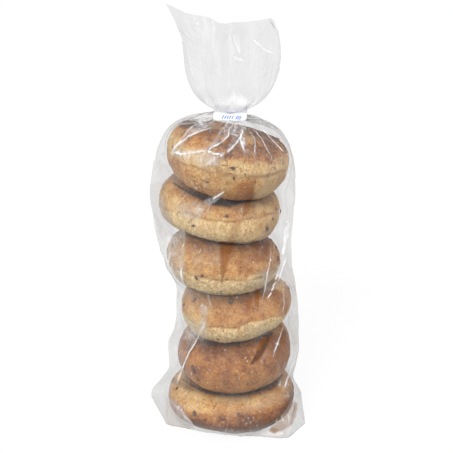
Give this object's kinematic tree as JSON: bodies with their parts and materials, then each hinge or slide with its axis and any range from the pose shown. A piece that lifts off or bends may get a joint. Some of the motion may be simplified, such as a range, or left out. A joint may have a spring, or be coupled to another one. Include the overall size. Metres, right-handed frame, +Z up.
{
  "type": "bagged cinnamon raisin bagels",
  "caption": "Clear film bag holding a single stack of raisin bagels, gathered at the neck with a flat clip under an open ruffle; stands on its base.",
  "frame": {"origin": "middle of the base, on the surface that the bag stands on", "axes": "+Z up along the stack, the front faces -Y, +X to the right seen from the front"},
  "size_m": [0.1447, 0.1202, 0.379],
  "materials": {
    "bag_film": "clear glossy film over browned bread",
    "clip_plastic": "white satin plastic"
  },
  "bodies": {
    "root": {"bag": "bag_film", "clip": "clip_plastic"}
  },
  "joints": []
}
